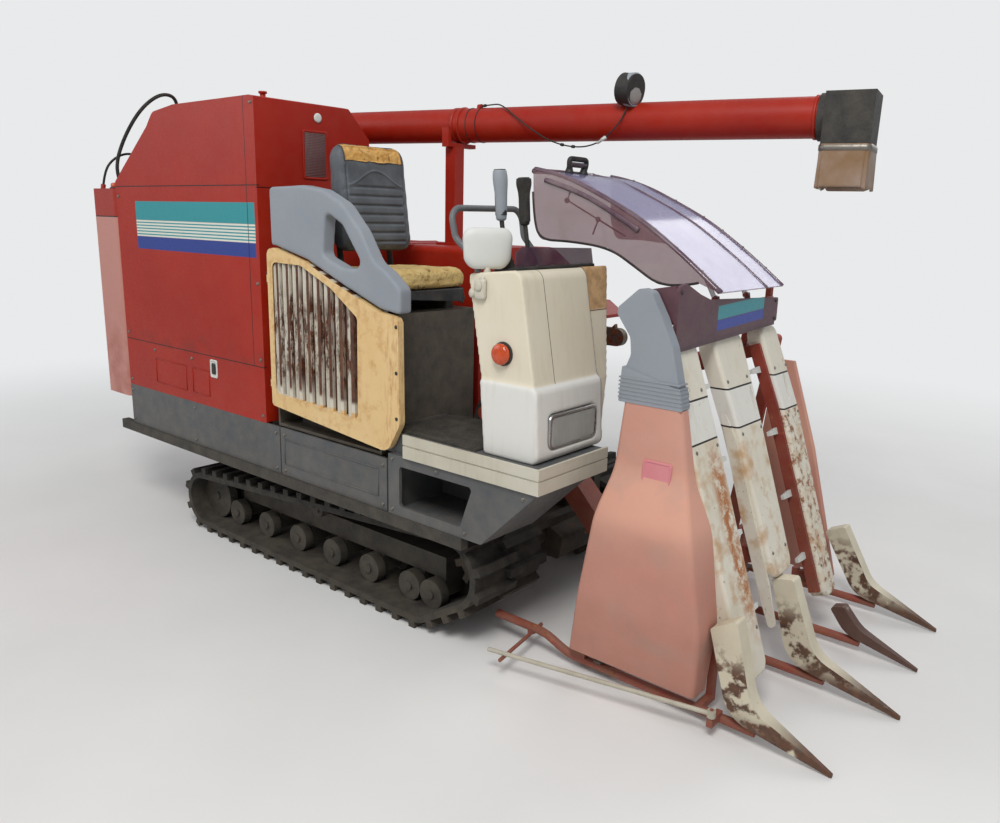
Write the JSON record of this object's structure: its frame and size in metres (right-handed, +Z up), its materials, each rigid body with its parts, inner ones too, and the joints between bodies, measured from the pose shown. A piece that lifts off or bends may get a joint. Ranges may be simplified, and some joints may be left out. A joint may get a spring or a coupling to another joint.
{
  "type": "combine harvester",
  "caption": "Small combine harvester on two rubber tracks, with a raising head and crop dividers, open driver's seat, grain tank and slewing unloading auger.",
  "frame": {"origin": "on the ground, below the middle of the machine's box", "axes": "+X forward to the dividers, +Y to the machine's left, +Z up"},
  "size_m": [4.066, 1.7, 2.2018],
  "materials": {
    "red_paint": "satin, faded and dusty",
    "cream_paint": "satin, with rust runs",
    "ivory_plastic": "grimy",
    "pink_plastic": "chalky, sun-bleached red",
    "dark_paint": "satin, dusty",
    "gray_plastic": "moulded",
    "track_rubber": "dusty",
    "rubber": "plain",
    "steel": "worn",
    "cast": "oily",
    "tint": "purple-brown tinted sheet",
    "clear": "ribbed lens",
    "orange_lens": "moulded lens",
    "vinyl": "cracked cover",
    "foam": "bare weathered foam",
    "chute_sheet": "soft translucent sheet",
    "plum_paint": "satin",
    "white_plastic": "dusty"
  },
  "bodies": {
    "chassis": {"armrest_shell": "gray_plastic", "auger_post": "dark_paint", "auger_rest": "red_paint", "console": "ivory_plastic", "controls": "dark_paint", "drive_sprockets": "cast", "engine_block": "cast", "engine_housing": "red_paint", "feed_chain": "steel", "floor_mat": "rubber", "grain_tank": "red_paint", "guard_rail": "gray_plastic", "headlight": "clear", "hose_lower": "rubber", "hose_upper": "rubber", "left_cover": "red_paint", "main_frame": "dark_paint", "marker_lamps": "orange_lens", "mirror": "white_plastic", "platform": "dark_paint", "platform_trim": "cream_paint", "rear_corner_box": "cream_paint", "seat_back": "vinyl", "seat_frame": "dark_paint", "seat_pad": "foam", "side_skirts": "dark_paint", "step_box": "dark_paint", "straw_cutter": "red_paint", "threshing_body": "red_paint", "track_frame_left": "dark_paint", "track_frame_right": "dark_paint", "track_left": "track_rubber", "track_right": "track_rubber", "transmission": "cast", "windscreen": "tint"},
    "header": {"header_frame": "red_paint", "raising_cases": "white_plastic", "raising_rails": "red_paint", "raising_tines": "white_plastic", "side_cover_right": "pink_plastic", "side_cover_left": "pink_plastic", "cover_cap": "gray_plastic", "front_panel": "plum_paint", "dividers": "steel", "cutter_bar": "steel", "hood_side": "tint"},
    "lift_barrel": {"lift_cylinder": "dark_paint"},
    "lift_plunger": {"lift_rod": "steel"},
    "hood_lid": {"hood": "tint"},
    "guide_arm": {"narrow_guide": "steel"},
    "auger_mast": {"auger_elbow": "dark_paint"},
    "auger_boom": {"auger_tube": "red_paint", "spout": "dark_paint", "chute": "chute_sheet", "work_lamp": "gray_plastic", "lamp_cable": "rubber"},
    "auger_barrel": {"auger_cylinder": "dark_paint"},
    "auger_plunger": {"auger_rod": "steel"},
    "door": {"engine_door": "cream_paint"},
    "drum_cover": {"threshing_cover": "red_paint"}
  },
  "joints": [
    {"name": "header_lift", "type": "hinge", "parent": "chassis", "child": "header", "pos_m": [0.35, -0.09, 0.8], "axis": [0, -1, 0], "range_deg": [0, 20]},
    {"name": "lift_barrel_turn", "type": "hinge", "parent": "chassis", "child": "lift_barrel", "pos_m": [0.15, 0.074, 0.362], "axis": [0, -1, 0], "range_deg": [-1, 15]},
    {"name": "lift_stroke", "type": "slide", "parent": "lift_barrel", "child": "lift_plunger", "axis": [0.9966, 0, 0.0825], "range_m": [-0.001, 0.15]},
    {"name": "hood_hinge", "type": "hinge", "parent": "header", "child": "hood_lid", "pos_m": [1.29, -0.098, 1.345], "axis": [0, 1, 0], "range_deg": [0, 55]},
    {"name": "guide_swing", "type": "hinge", "parent": "header", "child": "guide_arm", "pos_m": [1.6, -0.652, 0.084], "axis": [0, 0, -1], "range_deg": [0, 8]},
    {"name": "auger_slew", "type": "hinge", "parent": "chassis", "child": "auger_mast", "pos_m": [-1.785, -0.216, 1.9], "axis": [0, 0, 1], "range_deg": [0, 170]},
    {"name": "auger_lift", "type": "hinge", "parent": "auger_mast", "child": "auger_boom", "pos_m": [-1.785, -0.216, 2.03], "axis": [0.1719, -0.9851, 0], "range_deg": [0, 40]},
    {"name": "auger_barrel_turn", "type": "hinge", "parent": "auger_mast", "child": "auger_barrel", "pos_m": [-1.7117, -0.08342, 1.7], "axis": [0.1719, -0.9851, 0], "range_deg": [-1, 32]},
    {"name": "auger_stroke", "type": "slide", "parent": "auger_barrel", "child": "auger_plunger", "axis": [0.8233, 0.1437, 0.549], "range_m": [-0.001, 0.23]},
    {"name": "door_hinge", "type": "hinge", "parent": "chassis", "child": "door", "pos_m": [-0.428, -0.838, 1.1], "axis": [0, 0, -1], "range_deg": [0, 90]},
    {"name": "cover_hinge", "type": "hinge", "parent": "chassis", "child": "drum_cover", "pos_m": [-0.9, -0.15, 1.482], "axis": [1, 0, 0], "range_deg": [0, 50]}
  ],
  "couplings": [
    {"joint": "lift_barrel_turn", "follows": "header_lift", "ratio": 0.5964},
    {"joint": "lift_stroke", "follows": "header_lift", "m_per_rad": 0.39649},
    {"joint": "auger_barrel_turn", "follows": "auger_lift", "ratio": 0.65881},
    {"joint": "auger_stroke", "follows": "auger_lift", "m_per_rad": 0.29855}
  ]
}
